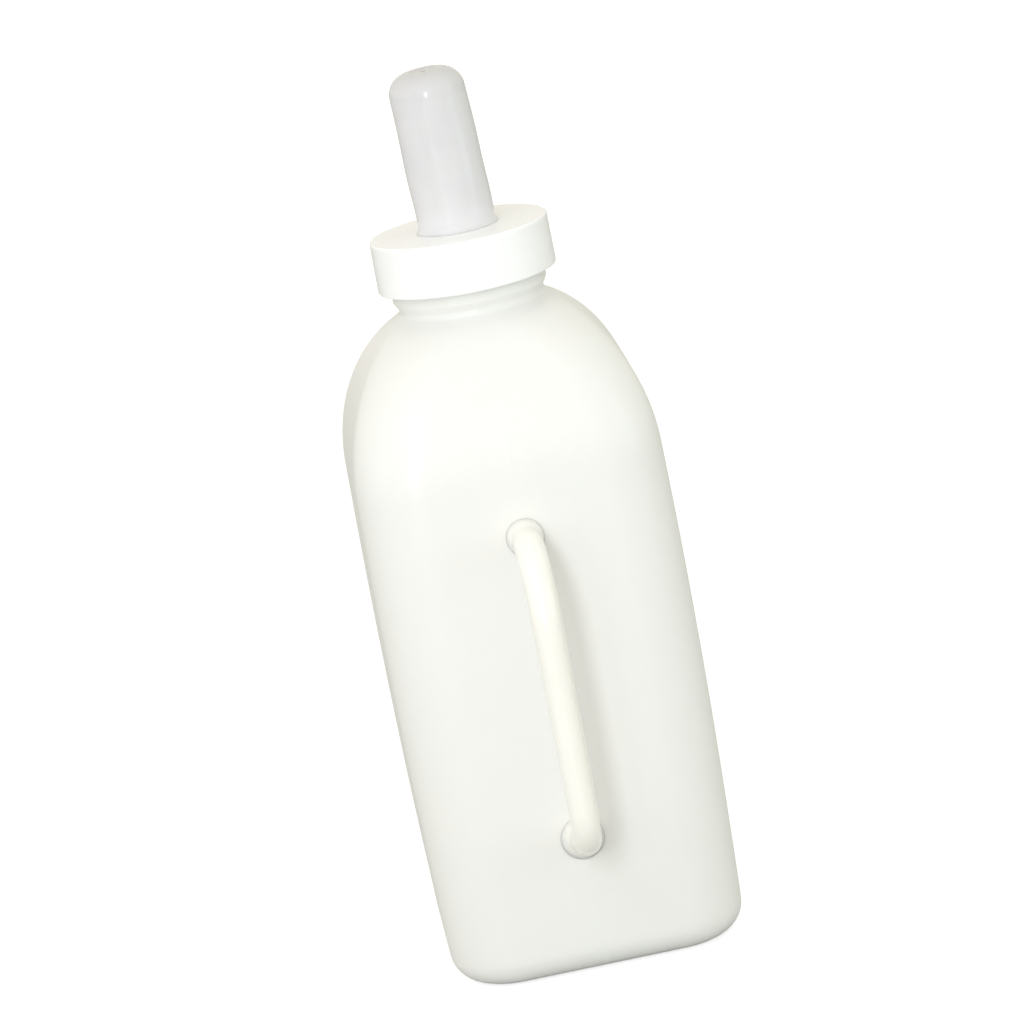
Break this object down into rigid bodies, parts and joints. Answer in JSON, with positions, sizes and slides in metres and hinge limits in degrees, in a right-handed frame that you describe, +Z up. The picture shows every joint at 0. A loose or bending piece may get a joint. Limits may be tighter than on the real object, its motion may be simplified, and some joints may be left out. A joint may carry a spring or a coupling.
{
  "type": "calf feeding bottle",
  "caption": "Square-sided blown plastic bottle with a domed shoulder, a moulded-in bow handle, a screw ring and a long teat for feeding milk to calves by hand.",
  "frame": {"origin": "centre of the base, on the plane that the bottle stands on", "axes": "+Z up along the bottle's axis, -Y towards the handle, +X to the right when the handle faces the viewer"},
  "size_m": [0.114, 0.1551, 0.3322],
  "materials": {
    "bottle_plastic": "milky natural polyethylene, soft satin shine",
    "handle_plastic": "creamy natural polyethylene, soft satin shine",
    "ring_plastic": "white polypropylene, glossy",
    "teat_silicone": "milky translucent silicone, smooth"
  },
  "bodies": {
    "bottle": {"bottle_body": "bottle_plastic", "handle": "handle_plastic"},
    "teat": {"teat": "teat_silicone"},
    "ring": {"screw_ring": "ring_plastic"}
  },
  "joints": [
    {"name": "teat_lift", "type": "slide", "parent": "bottle", "child": "teat", "axis": [0, 0, 1], "range_m": [0, 0.0088]},
    {"name": "ring_turn", "type": "hinge", "parent": "teat", "child": "ring", "pos_m": [0, 0, 0.264], "axis": [0, 0, 1], "range_deg": [0, 630]}
  ],
  "couplings": [
    {"joint": "teat_lift", "follows": "ring_turn", "m_per_rad": 0.00079577}
  ]
}
